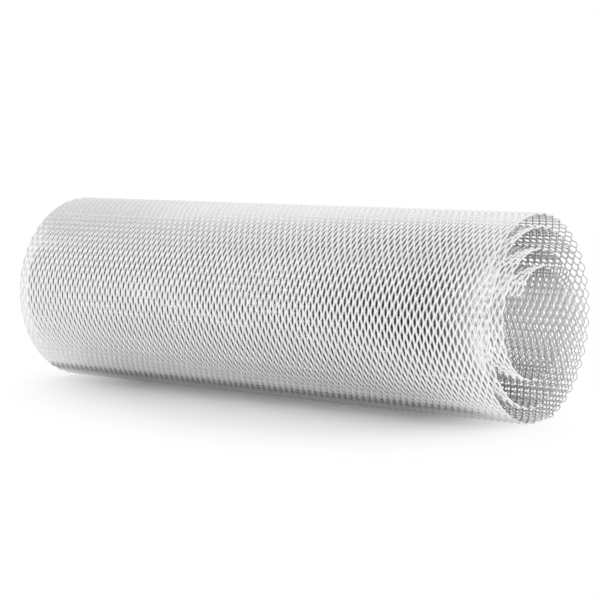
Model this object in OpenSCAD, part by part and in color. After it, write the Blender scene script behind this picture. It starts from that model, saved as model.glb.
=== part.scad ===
// Rolled sheet of expanded aluminium mesh for car grilles, lying on its side.
// The axis of the roll runs along X. Its free outer edge comes down to the floor
// at the back (+Y), and from there the sheet winds up the back, over the top,
// down the front and on inwards. The floor is z = 0, and the origin is the
// middle of the roll's footprint.

/* [Sheet] */
// Length of the flat sheet, the way that is rolled up
sheet_len = 1000; // [970:5:1030]
// Width of the flat sheet, which is the length of the roll
sheet_w = 330; // [150:5:600]
// Thickness over the raised strands of the mesh
mesh_t = 2; // [1:0.1:2.4]

/* [Roll] */
// Radius of the middle of the sheet in each quarter turn, from the outer edge inwards
turn_r = [55.5, 55.5, 55.5, 54, 52, 50.5, 48.5, 46, 43, 40, 35.5, 33, 32, 27, 22]; // [20:0.5:60]

/* [Hidden] */
$fn = 180;

last = len(turn_r) - 1;
half_t = mesh_t / 2;

// Angles go from the back (+Y) over the top (+Z), and quarter turns meet at these
function meet_angle(i) = 90 * i;
function outward(a) = [cos(a), sin(a)];

// Each quarter turn shares its end face with the next, so its centre lies on that face's line
function centre(i) = i == 0 ? [0, 0]
    : centre(i - 1) + (turn_r[i - 1] - turn_r[i]) * outward(meet_angle(i - 1));

// How far the roll reaches from the first centre: down, to the front and to the back
floor_z = centre(3)[1] - turn_r[3] - half_t;
front_y = centre(2)[0] - turn_r[2] - half_t;
back_y = turn_r[0] + half_t;

// The free edge starts where the outer turn comes down to the floor
edge_angle = asin(floor_z / (turn_r[0] + half_t));

function from_angle(i) = i == 0 ? edge_angle : meet_angle(i - 1);
function quarter_len(i) = turn_r[i] * (meet_angle(i) - from_angle(i)) * PI / 180;
function len_before(i) = i == 0 ? 0 : len_before(i - 1) + quarter_len(i - 1);

// The innermost stretch takes what is left of the sheet
last_sweep = (sheet_len - len_before(last)) / turn_r[last] * 180 / PI;
function sweep(i) = i == last ? last_sweep : meet_angle(i) - from_angle(i);

// Axis of a turned shape laid along X, with its zero angle at the back
module along_x() {
    rotate([90, 0, 90]) children();
}

// One quarter turn of the sheet, turned about its own centre
module quarter_turn(i) {
    along_x()
        translate(centre(i))
            rotate_extrude(angle = sweep(i), start = from_angle(i))
                translate([turn_r[i] - half_t, -sheet_w / 2])
                    square([mesh_t, sheet_w]);
}

// The whole sheet, rolled up in one piece
module mesh_roll() {
    color([0.8, 0.81, 0.82])
        translate([0, -(front_y + back_y) / 2, -floor_z])
            for (i = [0 : last]) quarter_turn(i);
}

mesh_roll();
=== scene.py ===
"""A loose roll of expanded aluminium mesh for car grilles, lying on its side."""
import math
from collections import namedtuple

import bmesh
import bpy
import numpy as np
from bpy.props import FloatProperty, FloatVectorProperty, IntProperty, PointerProperty
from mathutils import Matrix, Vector


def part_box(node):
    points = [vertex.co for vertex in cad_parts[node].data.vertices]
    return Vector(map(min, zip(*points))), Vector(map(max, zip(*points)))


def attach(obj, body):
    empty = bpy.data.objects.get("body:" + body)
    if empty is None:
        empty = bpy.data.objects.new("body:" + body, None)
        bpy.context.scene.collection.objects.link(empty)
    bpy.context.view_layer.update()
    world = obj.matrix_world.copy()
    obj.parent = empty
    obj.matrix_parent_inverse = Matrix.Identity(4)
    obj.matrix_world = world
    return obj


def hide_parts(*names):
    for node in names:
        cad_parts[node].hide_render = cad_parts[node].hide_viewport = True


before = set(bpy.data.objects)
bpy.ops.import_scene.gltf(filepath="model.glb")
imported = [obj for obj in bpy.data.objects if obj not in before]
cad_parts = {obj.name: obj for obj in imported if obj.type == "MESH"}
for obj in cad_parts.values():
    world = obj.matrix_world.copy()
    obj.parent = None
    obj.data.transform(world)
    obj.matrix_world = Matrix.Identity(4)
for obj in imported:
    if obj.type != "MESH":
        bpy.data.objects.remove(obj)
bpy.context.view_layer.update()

bl_info = {
    "name": "Mesh Roll",
    "version": (1, 0, 0),
    "blender": (4, 5, 0),
    "location": "3D View > Sidebar > Mesh Roll",
    "description": "Slits, stretches and rolls up a sheet of expanded aluminium mesh",
    "category": "Add Mesh",
}

NODE = "mesh_roll"
LENGTH = "LENGTH"

# The sheet is wound in quarter turns, from its free edge at the back over the top. These are
# a quarter's angle, and the first quarters that come to the front and to the floor.
QUARTER = math.pi / 2
FRONT_QUARTER = 2
FLOOR_QUARTER = 3

# Two points closer than this are one, in metres
WELD = 1e-6

# Name of the UV map that holds a place on the flat sheet
LAY_MAP = "lay"

# A metal's roughness, how much that varies over it, and its rolling streaks to the metre
Polish = namedtuple("Polish", "roughness spread streaks")
ROLLED_POLISH = Polish(roughness=0.14, spread=0.1, streaks=900.0)
SHEARED_POLISH = Polish(roughness=0.26, spread=0.12, streaks=2600.0)

# The streaks' noise is squeezed by this along the sheet, which draws them out that way, and
# has this many finer layers
STREAK_SQUEEZE = 0.15
STREAK_DETAIL = 3.0

# Uneven patches to the metre, and the finer layers of their noise
PATCHES = 60.0
PATCH_DETAIL = 2.0

# The darkest and the lightest that streaks and patches make the metal's colour
TINT_LOW = 0.9
TINT_HIGH = 1.08

# Height of the streaks in metres, and how strongly it shows
STREAK_HEIGHT = 0.00004
STREAK_RELIEF = 0.25

# Rays that look out from a face for strands close over it, which set the painted shade
VIEW_RAYS = 6

# A face that is turned this little outwards or inwards, as a cosine, counts as partly outward
EDGE_ON = 0.2

# The painted shade is lifted from the lift height down, and fully lifted at that height divided by
# this
FULL_SHADE_LIFT = 3

# Width of the camera's frame, in millimetres
FRAME_WIDTH = 36.0

WHITE = (1.0, 1.0, 1.0, 1.0)
BLACK = (0.0, 0.0, 0.0, 1.0)

# Outputs of Texture Coordinate, of Light Path, and of Vector Math and Ambient Occlusion
GENERATED, NORMAL, OBJECT = 0, 1, 3
CAMERA_RAY, GLOSSY_RAY, TRANSMISSION_RAY = 0, 3, 6
VECTOR, NUMBER = 0, 1


class SheetSettings(bpy.types.PropertyGroup):
    """Sizes of the flat sheet of expanded mesh."""

    length: FloatProperty(
        name="Length", description="Length of the flat sheet, the way that is rolled up",
        default=1.0, min=0.2, unit=LENGTH)
    diamonds_long: IntProperty(
        name="Diamonds along", description="Diamonds in the sheet's length", default=125, min=5)
    diamonds_wide: IntProperty(
        name="Diamonds across", description="Diamonds in the sheet's width", default=81, min=5)
    stretches: IntProperty(
        name="Stretches", description="Equal lengths that the sheet is built in", default=5, min=1)
    strand_width: FloatProperty(
        name="Strand width", description="Width of metal between two slits",
        default=0.0011, min=0.0003, unit=LENGTH)
    strand_thickness: FloatProperty(
        name="Strand thickness", description="Thickness of the sheet before it is slit",
        default=0.0004, min=0.0002, unit=LENGTH)
    strand_tilt: FloatProperty(
        name="Strand tilt", description="How far stretching turns the strands out of the sheet",
        default=math.radians(46), min=0.0, max=math.radians(80), subtype="ANGLE")
    crease: FloatProperty(
        name="Crease", description="Faces that meet at more than this angle meet at a sharp edge",
        default=math.radians(60), subtype="ANGLE")
    bond_length: FloatProperty(
        name="Bond length", description="Length of the unslit metal that joins two strands",
        default=0.0018, min=0.0002, unit=LENGTH)


class RollSettings(bpy.types.PropertyGroup):
    """How the sheet is rolled up."""

    turn_radius: FloatVectorProperty(
        name="Quarter turn radii",
        description="Radius of the middle of the sheet in each quarter turn, outermost first",
        size=15, unit=LENGTH,
        default=(0.0555, 0.0555, 0.0555, 0.054, 0.052, 0.0505, 0.0485, 0.046, 0.043, 0.040,
                 0.0355, 0.033, 0.032, 0.027, 0.022))
    wall: FloatProperty(
        name="Wall", description="Thickness over the raised strands",
        default=0.002, min=0.0005, unit=LENGTH)
    axis_height: FloatProperty(
        name="Axis height", description="Height of the middle of the roll over the floor",
        default=0.0555, min=0.0, unit=LENGTH)


class FinishSettings(bpy.types.PropertyGroup):
    """Colours of the bare metal, and the shade painted into it between the turns."""

    rolled_face: FloatVectorProperty(
        name="Rolled face", description="Colour of the sheet's own rolled surface",
        default=(0.92, 0.922, 0.925), size=3, subtype="COLOR")
    # The cut edges are half as bright as the rolled face: partly their rougher cut metal, partly
    # painted shade that draws dark lines along the strands
    sheared_edge: FloatVectorProperty(
        name="Sheared edge", description="Colour of the metal where the slits cut it",
        default=(0.46, 0.462, 0.465), size=3, subtype="COLOR")
    # The next four set shade painted into the metal's colour where a turn lies close over it, read
    # from ambient occlusion
    painted_shade_reach: FloatProperty(
        name="Dull reach", description="Strands closer than this over a face make it dull",
        default=0.012, min=0.0005, unit=LENGTH)
    painted_shade_from: FloatProperty(
        name="Dull from", description="Open share of the view from a face where it is dullest",
        default=0.5, min=0.0, max=1.0, subtype="FACTOR")
    painted_shade_to: FloatProperty(
        name="Dull to", description="Open share of the view from a face where it is bright",
        default=0.66, min=0.0, max=1.0, subtype="FACTOR")
    darkest_painted_shade: FloatProperty(
        name="Dull shade", description="Brightness of the dullest metal between the turns",
        default=0.06, min=0.0, max=1.0, subtype="FACTOR")
    # The next four lift the painted shade again towards the open end and low down where the roll
    # lies on the floor
    shade_lift_from: FloatProperty(
        name="Rubbed from", description="From here to the open end the metal gets brighter",
        default=0.125, min=0.0, unit=LENGTH)
    shade_lift_to: FloatProperty(
        name="Rubbed to", description="From here to the open end the metal is brightest",
        default=0.155, min=0.0, unit=LENGTH)
    shade_lift_height: FloatProperty(
        name="Rubbed height", description="Below this the roll is rubbed bright on the floor",
        default=0.01, min=0.0001, unit=LENGTH)
    shade_lift_share: FloatProperty(
        name="Rubbed share", description="How much of the dullness is rubbed off",
        default=0.75, min=0.0, max=1.0, subtype="FACTOR")


class StageSettings(bpy.types.PropertyGroup):
    """Floor, light and camera."""

    floor_colour: FloatVectorProperty(
        name="Floor", description="Colour of the floor", default=(0.94, 0.94, 0.94), size=3,
        subtype="COLOR")
    floor_size: FloatProperty(
        name="Floor size", description="Side of the square floor", default=6.0, min=1.0,
        unit=LENGTH)
    sky: FloatProperty(
        name="Sky", description="Strength of the even light from all round", default=1.0, min=0.0)
    key_place: FloatVectorProperty(
        name="Key lamp", description="Where the soft lamp hangs",
        default=(0.71, 0.37, 0.6), size=3, subtype="XYZ", unit=LENGTH)
    key_aim: FloatVectorProperty(
        name="Key lamp's aim", description="Point that the soft lamp is turned to",
        default=(0.0, 0.0, 0.05), size=3, subtype="XYZ", unit=LENGTH)
    key_size: FloatProperty(
        name="Key size", description="Side of the soft lamp", default=1.2, min=0.05, unit=LENGTH)
    key_power: FloatProperty(
        name="Key power", description="Power of the soft lamp", default=0.8, min=0.0,
        unit="POWER")
    ceiling_way: FloatVectorProperty(
        name="Ceiling",
        description="Where the middle of the grey ceiling lies, seen from the roll",
        default=(0.53, 0.22, 0.82), size=3, subtype="DIRECTION")
    ceiling_shade: FloatProperty(
        name="Ceiling shade", description="How bright the grey ceiling is in the metal",
        default=0.76, min=0.0, max=1.0, subtype="FACTOR")
    ceiling_edge: FloatProperty(
        name="Ceiling edge", description="Where the ceiling gives way to white, as a cosine",
        default=0.7, min=-1.0, max=1.0)
    ceiling_blend: FloatProperty(
        name="Ceiling blend", description="How softly the ceiling gives way, as a cosine",
        default=0.2, min=0.01, max=2.0)
    shade_place: FloatVectorProperty(
        name="Shaded floor", description="Middle of the oval of floor that shows the shadow",
        default=(-0.001, -0.017, 0.0), size=3, subtype="XYZ", unit=LENGTH)
    shade_turn: FloatProperty(
        name="Shade turn", description="How far the oval is turned", default=math.radians(-22),
        subtype="ANGLE")
    shade_squeeze: FloatProperty(
        name="Shade squeeze", description="The oval's width as a share of its length",
        default=0.64, min=0.1, max=1.0, subtype="FACTOR")
    floor_plain: FloatProperty(
        name="Plain floor", description="Half the oval's width, where the shadow starts to fade",
        default=0.067, min=0.0, unit=LENGTH)
    floor_white: FloatProperty(
        name="White floor",
        description="Half its width where the floor is as white as the backdrop",
        default=0.144, min=0.0, unit=LENGTH)
    floor_lift: FloatProperty(
        name="Floor lift", description="Share of plain white in the floor under the roll",
        default=0.16, min=0.0, max=1.0, subtype="FACTOR")
    camera_turn: FloatProperty(
        name="Camera turn", description="How far the camera stands towards the open end",
        default=math.radians(37.31), subtype="ANGLE")
    camera_rise: FloatProperty(
        name="Camera rise", description="How far the camera looks down",
        default=math.radians(5.45), subtype="ANGLE")
    camera_distance: FloatProperty(
        name="Camera distance", description="From the camera to the point it looks at",
        default=1.05, min=0.1, unit=LENGTH)
    camera_aim: FloatVectorProperty(
        name="Camera aim", description="Point in the middle of the picture",
        default=(0.0049, 0.0038, 0.0559), size=3, subtype="XYZ", unit=LENGTH)
    lens: FloatProperty(
        name="Lens", description="Focal length on a 36 mm frame", default=108.8, min=10.0,
        unit="CAMERA")


class Wire:
    """A node's output socket, with the arithmetic of its numbers."""

    def __init__(self, tree, socket):
        self.tree = tree
        self.socket = socket

    def _maths(self, operation, first, second):
        values = {0: first, 1: second}
        return node(self.tree, "ShaderNodeMath", {"operation": operation}, values)[0]

    def __add__(self, other):
        return self._maths("ADD", self, other)

    def __radd__(self, other):
        return self._maths("ADD", other, self)

    def __sub__(self, other):
        return self._maths("SUBTRACT", self, other)

    def __rsub__(self, other):
        return self._maths("SUBTRACT", other, self)

    def __mul__(self, other):
        return self._maths("MULTIPLY", self, other)

    def __rmul__(self, other):
        return self._maths("MULTIPLY", other, self)


def node(tree, kind, settings=None, values=None):
    """Adds a node, sets it up, feeds its sockets and returns its outputs as wires."""
    made = tree.nodes.new(kind)
    for name, value in (settings or {}).items():
        setattr(made, name, value)
    for name, value in (values or {}).items():
        socket = made.inputs[name]
        if isinstance(value, Wire):
            tree.links.new(value.socket, socket)
        else:
            socket.default_value = value
    return [Wire(tree, result) for result in made.outputs]


def new_material(name):
    """An empty material and its node tree."""
    material = bpy.data.materials.new(name)
    material.use_nodes = True
    material.node_tree.nodes.clear()
    return material, material.node_tree


def output(tree, surface):
    """Links a shader to the material's output."""
    node(tree, "ShaderNodeOutputMaterial", None, {"Surface": surface})


def blend_colours(tree, factor, first, second):
    """Mixes two colours, whose sockets come after those for numbers and for vectors."""
    mixed = node(tree, "ShaderNodeMix", {"data_type": "RGBA"}, {0: factor, 6: first, 7: second})
    return mixed[2]


def smooth_step(tree, value, start, end, low=0.0, high=1.0):
    """Runs smoothly from low, where the value is at start, to high, where it is at end."""
    return node(tree, "ShaderNodeMapRange", {"interpolation_type": "SMOOTHSTEP"}, {
        "Value": value, "From Min": start, "From Max": end, "To Min": low, "To Max": high})[0]


def larger(tree, first, second):
    """The larger of two numbers."""
    return node(tree, "ShaderNodeMath", {"operation": "MAXIMUM"}, {0: first, 1: second})[0]


def vector_maths(tree, operation, first, second=(0.0, 0.0, 0.0)):
    """Works on one vector or two, and returns a vector and a number."""
    return node(tree, "ShaderNodeVectorMath", {"operation": operation}, {0: first, 1: second})


def noise(tree, place, scale, detail):
    """Soft noise, with about scale patches to the metre."""
    return node(tree, "ShaderNodeTexNoise", None, {
        "Vector": place, "Scale": scale, "Detail": detail})[0]


def rgba(colour, shade=1.0):
    """A colour with an alpha, made lighter or darker."""
    return (colour[0] * shade, colour[1] * shade, colour[2] * shade, 1.0)


def outward_share(tree, spot, facing, axis_height):
    """1 on faces that look away from the roll's axis and 0 on those that look towards it."""
    from_axis = vector_maths(tree, "SUBTRACT", spot, (0.0, 0.0, axis_height))[VECTOR]
    across = vector_maths(tree, "MULTIPLY", from_axis, (0.0, 1.0, 1.0))[VECTOR]
    outward = vector_maths(tree, "NORMALIZE", across)[VECTOR]
    turned_out = vector_maths(tree, "DOT_PRODUCT", outward, facing)[NUMBER]
    return smooth_step(tree, turned_out, -EDGE_ON, EDGE_ON)


def painted_shade_lift(tree, spot, finish):
    """1 where the painted shade is lifted: towards the open end, and low down where the roll lies.
    """
    along_axis, _, height = node(tree, "ShaderNodeSeparateXYZ", None, {"Vector": spot})
    at_end = smooth_step(tree, along_axis, finish.shade_lift_from, finish.shade_lift_to)
    at_floor = smooth_step(tree, height, finish.shade_lift_height,
                           finish.shade_lift_height / FULL_SHADE_LIFT)
    return larger(tree, at_end, at_floor)


def painted_metal_shade(tree, spot, facing, finish, axis_height):
    """Painted shade: darker on the outer side under a close turn, lifted at the open end and
    floor.
    """
    open_view = node(tree, "ShaderNodeAmbientOcclusion", {"samples": VIEW_RAYS}, {
        "Distance": finish.painted_shade_reach})[NUMBER]
    shade = smooth_step(tree, open_view, finish.painted_shade_from, finish.painted_shade_to,
                        low=finish.darkest_painted_shade)
    outward = outward_share(tree, spot, facing, axis_height)
    shade_kept = 1 - painted_shade_lift(tree, spot, finish) * finish.shade_lift_share
    return 1 - (1 - shade) * outward * shade_kept


def bare_metal(name, colour, polish, finish, axis_height):
    """Bare aluminium: rolling streaks along the sheet, uneven brightness and polish, and painted
    shade.
    """
    material, tree = new_material(name)
    lay = node(tree, "ShaderNodeUVMap", {"uv_map": LAY_MAP})[0]
    drawn_out = node(tree, "ShaderNodeMapping", None, {
        "Vector": lay, "Scale": (STREAK_SQUEEZE, 1.0, 1.0)})[0]
    streaks = noise(tree, drawn_out, polish.streaks, STREAK_DETAIL)
    coordinates = node(tree, "ShaderNodeTexCoord")
    facing, spot = coordinates[NORMAL], coordinates[OBJECT]
    patches = noise(tree, spot, PATCHES, PATCH_DETAIL)
    tint = blend_colours(tree, patches * 0.5 + streaks * 0.5,
                         rgba(colour, TINT_LOW), rgba(colour, TINT_HIGH))
    shade = painted_metal_shade(tree, spot, facing, finish, axis_height)
    bump = node(tree, "ShaderNodeBump", None, {
        "Strength": STREAK_RELIEF, "Distance": STREAK_HEIGHT, "Height": streaks})[0]
    # The base colour runs to black where shade is painted between the turns
    metal = node(tree, "ShaderNodeBsdfPrincipled", None, {
        "Base Color": blend_colours(tree, shade, BLACK, tint), "Metallic": 1.0,
        "Roughness": streaks * polish.spread + (polish.roughness - polish.spread / 2),
        "Normal": bump})[0]
    output(tree, metal)
    return material


def turn_joints(roll):
    """(centre, radius, from angle, to angle) of each quarter turn, outermost first.

    Angles go from the back over the top. The free edge starts where the outer turn reaches
    the floor, and each quarter turn's centre lies on the line where it meets the last one.
    """
    radii = list(roll.turn_radius)
    half = roll.wall / 2
    centres = [Vector((0.0, 0.0))]
    for index in range(1, len(radii)):
        meet = QUARTER * (index - 1)
        outward = Vector((math.cos(meet), math.sin(meet)))
        centres.append(centres[-1] + (radii[index - 1] - radii[index]) * outward)
    floor = centres[FLOOR_QUARTER].y - radii[FLOOR_QUARTER] - half
    front = centres[FRONT_QUARTER].x - radii[FRONT_QUARTER] - half
    back = radii[0] + half
    edge_angle = math.asin(floor / back)
    shift = Vector((-(front + back) / 2, -floor))
    starts = [edge_angle] + [QUARTER * index for index in range(len(radii) - 1)]
    ends = [QUARTER * index for index in range(len(radii))]
    return [(centre + shift, radius, start, end)
            for centre, radius, start, end in zip(centres, radii, starts, ends)]


def wind(points, roll):
    """Rolls flat points up: x stays along the axis, y is wound round and z points outwards."""
    distance, out = points[:, 1].copy(), points[:, 2].copy()
    wound = 0.0
    for centre, radius, start, end in turn_joints(roll):
        # A quarter turn takes all that is left of the sheet, until the next one takes over
        rest = distance >= wound - WELD
        angle = start + (distance[rest] - wound) / radius
        points[rest, 1] = centre.x + (radius + out[rest]) * np.cos(angle)
        points[rest, 2] = centre.y + (radius + out[rest]) * np.sin(angle)
        wound += radius * (end - start)
    return points


def add_strand(bm, sheet, row, pitch, starts_high):
    """One strand through one diamond: its width is an edge, extruded from bond to bond."""
    diamond = sheet.length / sheet.diamonds_long
    tilt = sheet.strand_tilt
    width = Vector((math.cos(tilt), 0.0, -math.sin(tilt))) * sheet.strand_width
    low = Vector((row * pitch, 0.0, 0.0)) + width / 2
    high = Vector(((row + 1) * pitch, 0.0, 0.0)) - width / 2
    half_bond = sheet.bond_length / 2
    here, there = (high, low) if starts_high else (low, high)
    stations = [(0.0, here), (half_bond, here), (diamond / 2 - half_bond, there),
                (diamond / 2 + half_bond, there), (diamond - half_bond, here), (diamond, here)]
    ends = [bm.verts.new(here - width / 2), bm.verts.new(here + width / 2)]
    edge = bm.edges.new(ends)
    last = here
    for along, middle in stations[1:]:
        place = Vector((middle.x, along, middle.z))
        made = bmesh.ops.extrude_edge_only(bm, edges=[edge])["geom"]
        edge = next(item for item in made if isinstance(item, bmesh.types.BMEdge))
        bmesh.ops.translate(bm, verts=list(edge.verts), vec=place - last)
        last = place


def repeat(bm, count, step):
    """Repeats everything in the mesh count times, a step apart."""
    first = bm.verts[:] + bm.edges[:] + bm.faces[:]
    for index in range(1, count):
        copied = bmesh.ops.duplicate(bm, geom=first)["geom"]
        verts = [item for item in copied if isinstance(item, bmesh.types.BMVert)]
        bmesh.ops.translate(bm, verts=verts, vec=step * index)


def stretch_of_net(sheet, width, count):
    """Flat net of a stretch of the sheet, count diamonds long, its strands not yet thick."""
    tilt_reach = sheet.strand_thickness * math.sin(sheet.strand_tilt)
    pitch = (width - tilt_reach) / (2 * sheet.diamonds_wide)
    diamond = sheet.length / sheet.diamonds_long
    bm = bmesh.new()
    add_strand(bm, sheet, 0, pitch, True)
    add_strand(bm, sheet, 1, pitch, False)
    bmesh.ops.remove_doubles(bm, verts=bm.verts[:], dist=WELD)
    repeat(bm, count, Vector((0.0, diamond, 0.0)))
    repeat(bm, sheet.diamonds_wide, Vector((2 * pitch, 0.0, 0.0)))
    bmesh.ops.remove_doubles(bm, verts=bm.verts[:], dist=WELD)
    bmesh.ops.translate(bm, verts=bm.verts[:], vec=(-pitch * sheet.diamonds_wide, 0.0, 0.0))
    net = bpy.data.meshes.new("net")
    bm.to_mesh(net)
    bm.free()
    return net


def give_thickness(net, sheet, rolled, sheared):
    """Gives a net its metal's thickness, with the cut edges in the second material."""
    net.materials.append(rolled)
    net.materials.append(sheared)
    piece = bpy.data.objects.new("flat_stretch", net)
    bpy.context.scene.collection.objects.link(piece)
    solid = piece.modifiers.new("thickness", "SOLIDIFY")
    solid.thickness = sheet.strand_thickness
    solid.offset = 0.0
    solid.use_even_offset = True
    solid.material_offset_rim = 1
    bpy.context.view_layer.update()
    graph = bpy.context.evaluated_depsgraph_get()
    made = bpy.data.meshes.new_from_object(piece.evaluated_get(graph))
    piece.modifiers.clear()
    piece.data = made
    bpy.data.meshes.remove(net)
    return piece


def soften_edges(piece):
    """Lets the light run smoothly along the bent strands, up to their cut edges."""
    soft = piece.modifiers.new("soft_bends", "WEIGHTED_NORMAL")
    soft.keep_sharp = True


def read_points(mesh):
    """The mesh's points as rows of x, y and z."""
    flat = np.empty(len(mesh.vertices) * 3)
    mesh.vertices.foreach_get("co", flat)
    return flat.reshape(-1, 3)


def lay_map(mesh):
    """A UV map that holds each corner's place on the flat sheet, in metres."""
    points = read_points(mesh)
    corners = np.empty(len(mesh.loops), dtype=np.int32)
    mesh.loops.foreach_get("vertex_index", corners)
    layer = mesh.uv_layers.new(name=LAY_MAP)
    layer.data.foreach_set("uv", points[corners][:, [1, 0]].ravel())


class MESHROLL_OT_sheet(bpy.types.Operator):
    """Build the expanded sheet in equal stretches and roll each one up"""

    bl_idname = "mesh_roll.sheet"
    bl_label = "Roll of Mesh"

    def execute(self, context):
        scene = context.scene
        sheet, roll, finish = scene.sheet_settings, scene.roll_settings, scene.finish_settings
        low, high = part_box(NODE)
        count = sheet.diamonds_long // sheet.stretches
        diamond = sheet.length / sheet.diamonds_long
        rolled = bare_metal("rolled_face", finish.rolled_face, ROLLED_POLISH, finish,
                            roll.axis_height)
        sheared = bare_metal("sheared_edge", finish.sheared_edge, SHEARED_POLISH, finish,
                             roll.axis_height)
        net = stretch_of_net(sheet, high[0] - low[0], count)
        flat = give_thickness(net, sheet, rolled, sheared)
        for index in range(sheet.stretches):
            mesh = flat.data.copy()
            points = read_points(mesh)
            points[:, 1] += index * count * diamond
            mesh.vertices.foreach_set("co", points.ravel())
            lay_map(mesh)
            mesh.vertices.foreach_set("co", wind(points, roll).ravel())
            # Winding mirrors the mesh, so its faces are turned the right way out again
            mesh.flip_normals()
            mesh.shade_smooth()
            mesh.set_sharp_from_angle(angle=sheet.crease)
            piece = bpy.data.objects.new(f"mesh_stretch_{index + 1}", mesh)
            scene.collection.objects.link(piece)
            soften_edges(piece)
            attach(piece, "root")
            if index == 0:
                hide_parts(NODE)
        bpy.data.objects.remove(flat)
        return {"FINISHED"}


def seen_white(tree):
    """Two masks: 1 on all that the camera sees, and 1 on only what it sees in the metal."""
    path = node(tree, "ShaderNodeLightPath")
    mirrored = larger(tree, path[GLOSSY_RAY], path[TRANSMISSION_RAY])
    return larger(tree, path[CAMERA_RAY], mirrored), mirrored


def floor_material(stage):
    """White floor that keeps the roll's soft shadow and runs into the white background."""
    material, tree = new_material("floor")
    spot = node(tree, "ShaderNodeTexCoord")[OBJECT]
    oval = node(tree, "ShaderNodeMapping", {"vector_type": "TEXTURE"}, {
        "Vector": spot, "Location": stage.shade_place, "Rotation": (0.0, 0.0, stage.shade_turn),
        "Scale": (1 / stage.shade_squeeze, 1.0, 1.0)})[0]
    away = vector_maths(tree, "LENGTH", oval)[NUMBER]
    far = smooth_step(tree, away, stage.floor_plain, stage.floor_white, low=stage.floor_lift)
    seen = seen_white(tree)[0]
    matt = node(tree, "ShaderNodeBsdfDiffuse", None, {"Color": rgba(stage.floor_colour)})[0]
    white = node(tree, "ShaderNodeEmission", None, {"Color": WHITE, "Strength": 1.0})[0]
    both = node(tree, "ShaderNodeMixShader", None, {0: far * seen, 1: matt, 2: white})[0]
    output(tree, both)
    return material


def add_lamp(name, place, aim, size, power):
    """A square soft lamp that points at aim."""
    lamp = bpy.data.lights.new(name, "AREA")
    lamp.shape = "SQUARE"
    lamp.size = size
    lamp.energy = power
    holder = bpy.data.objects.new(name, lamp)
    bpy.context.scene.collection.objects.link(holder)
    towards = Vector(aim) - Vector(place)
    holder.location = place
    holder.rotation_euler = towards.to_track_quat("-Z", "Y").to_euler()
    return holder


def set_world(stage):
    """Even light from all round, seen as white, with a pale grey ceiling in the metal."""
    world = bpy.data.worlds.new("studio")
    world.use_nodes = True
    tree = world.node_tree
    tree.nodes.clear()
    seen, mirrored = seen_white(tree)
    middle = Vector(stage.ceiling_way).normalized()
    way = node(tree, "ShaderNodeTexCoord")[GENERATED]
    near = vector_maths(tree, "DOT_PRODUCT", way, middle)[NUMBER]
    grey = smooth_step(tree, near, stage.ceiling_edge, stage.ceiling_edge + stage.ceiling_blend,
                       high=1.0 - stage.ceiling_shade)
    light = node(tree, "ShaderNodeBackground", None, {"Color": WHITE, "Strength": stage.sky})[0]
    white = node(tree, "ShaderNodeBackground", None, {
        "Color": WHITE, "Strength": 1 - mirrored * grey})[0]
    both = node(tree, "ShaderNodeMixShader", None, {0: seen, 1: light, 2: white})[0]
    node(tree, "ShaderNodeOutputWorld", None, {"Surface": both})
    bpy.context.scene.world = world


def set_camera(stage):
    """The photograph's view."""
    camera = bpy.data.cameras.new("camera")
    camera.lens = stage.lens
    camera.sensor_width = FRAME_WIDTH
    holder = bpy.data.objects.new("camera", camera)
    bpy.context.scene.collection.objects.link(holder)
    level = math.cos(stage.camera_rise)
    back = Vector((math.sin(stage.camera_turn) * level, -math.cos(stage.camera_turn) * level,
                   math.sin(stage.camera_rise)))
    holder.location = Vector(stage.camera_aim) + back * stage.camera_distance
    holder.rotation_euler = (-back).to_track_quat("-Z", "Y").to_euler()
    bpy.context.scene.camera = holder


class MESHROLL_OT_stage(bpy.types.Operator):
    """Add the floor, the light and the camera"""

    bl_idname = "mesh_roll.stage"
    bl_label = "Floor, Light and Camera"

    def execute(self, context):
        stage = context.scene.stage_settings
        bm = bmesh.new()
        bmesh.ops.create_grid(bm, x_segments=1, y_segments=1, size=stage.floor_size / 2)
        mesh = bpy.data.meshes.new("floor")
        bm.to_mesh(mesh)
        bm.free()
        mesh.materials.append(floor_material(stage))
        floor = bpy.data.objects.new("floor", mesh)
        context.scene.collection.objects.link(floor)
        add_lamp("key_lamp", stage.key_place, stage.key_aim, stage.key_size, stage.key_power)
        set_world(stage)
        set_camera(stage)
        context.scene.view_settings.view_transform = "Standard"
        return {"FINISHED"}


class MESHROLL_PT_panel(bpy.types.Panel):
    """Buttons that build the roll and its stage"""

    bl_label = "Mesh Roll"
    bl_idname = "MESHROLL_PT_panel"
    bl_space_type = "VIEW_3D"
    bl_region_type = "UI"
    bl_category = "Mesh Roll"

    def draw(self, context):
        for operator in (MESHROLL_OT_sheet, MESHROLL_OT_stage):
            self.layout.operator(operator.bl_idname)


SETTINGS = {
    "sheet_settings": SheetSettings,
    "roll_settings": RollSettings,
    "finish_settings": FinishSettings,
    "stage_settings": StageSettings,
}
CLASSES = (*SETTINGS.values(), MESHROLL_OT_sheet, MESHROLL_OT_stage, MESHROLL_PT_panel)


def register():
    """Adds the settings, the operators and the panel to Blender."""
    for item in CLASSES:
        bpy.utils.register_class(item)
    for name, group in SETTINGS.items():
        setattr(bpy.types.Scene, name, PointerProperty(type=group))


def unregister():
    """Takes them away again."""
    for name in SETTINGS:
        delattr(bpy.types.Scene, name)
    for item in reversed(CLASSES):
        bpy.utils.unregister_class(item)


def main():
    """Builds the roll on its stage."""
    register()
    bpy.ops.mesh_roll.sheet()
    bpy.ops.mesh_roll.stage()


if __name__ == "__main__":
    main()
